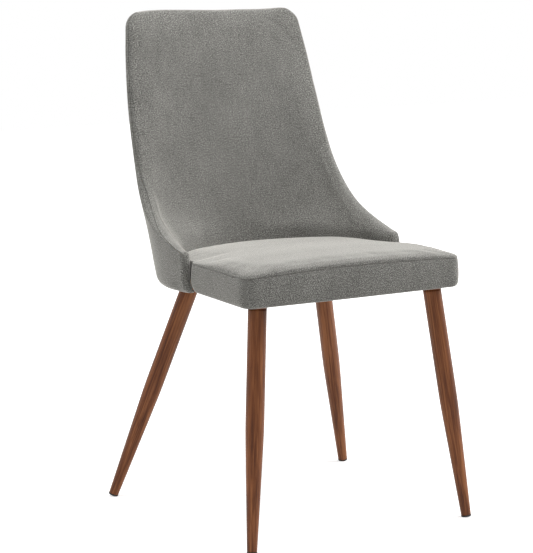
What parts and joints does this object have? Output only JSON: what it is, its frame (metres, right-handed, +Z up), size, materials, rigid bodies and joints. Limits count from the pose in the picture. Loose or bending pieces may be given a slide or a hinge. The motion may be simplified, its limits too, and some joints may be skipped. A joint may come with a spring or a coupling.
{
  "type": "parsons chair",
  "caption": "Upholstered dining chair with a tall back that wraps into low side wings, a boxed cushion seat and splayed round legs tapering to small black glides.",
  "frame": {"origin": "on the floor, at the centre of the chair's outline in plan", "axes": "+X across the chair, to the right as seen from the front; +Y to the rear, so the chair faces -Y; +Z up from the floor"},
  "size_m": [0.5326, 0.5588, 0.9],
  "materials": {
    "grey_weave": "matt melange weave, mid grey with darker slubs",
    "seat_foam": "open-cell foam, hidden",
    "plywood": "raw birch plywood, hidden",
    "black_fleece": "black non-woven sheet",
    "walnut_grain_film": "satin wood-grain film on steel, red-brown walnut",
    "black_plastic": "matt black moulding",
    "zinc_steel": "zinc-plated screws"
  },
  "bodies": {
    "root": {"back_inside_pad": "grey_weave", "back_plywood_shell": "plywood", "shell_screw_1": "zinc_steel", "shell_screw_2": "zinc_steel", "shell_screw_3": "zinc_steel", "shell_screw_4": "zinc_steel", "shell_screw_5": "zinc_steel", "back_outside_panel": "grey_weave", "back_border_band": "grey_weave", "seat_top_panel": "grey_weave", "seat_boxing_band": "grey_weave", "seat_foam": "seat_foam", "seat_base_board": "plywood", "underside_cover_sheet": "black_fleece", "leg_plate_front_left": "walnut_grain_film", "leg_collar_front_left": "walnut_grain_film", "leg_tube_front_left": "walnut_grain_film", "glide_front_left": "black_plastic", "leg_screw_front_left_1": "zinc_steel", "leg_screw_front_left_2": "zinc_steel", "leg_screw_front_left_3": "zinc_steel", "leg_plate_front_right": "walnut_grain_film", "leg_collar_front_right": "walnut_grain_film", "leg_tube_front_right": "walnut_grain_film", "glide_front_right": "black_plastic", "leg_screw_front_right_1": "zinc_steel", "leg_screw_front_right_2": "zinc_steel", "leg_screw_front_right_3": "zinc_steel", "leg_plate_rear_left": "walnut_grain_film", "leg_collar_rear_left": "walnut_grain_film", "leg_tube_rear_left": "walnut_grain_film", "glide_rear_left": "black_plastic", "leg_screw_rear_left_1": "zinc_steel", "leg_screw_rear_left_2": "zinc_steel", "leg_screw_rear_left_3": "zinc_steel", "leg_plate_rear_right": "walnut_grain_film", "leg_collar_rear_right": "walnut_grain_film", "leg_tube_rear_right": "walnut_grain_film", "glide_rear_right": "black_plastic", "leg_screw_rear_right_1": "zinc_steel", "leg_screw_rear_right_2": "zinc_steel", "leg_screw_rear_right_3": "zinc_steel"}
  },
  "joints": []
}
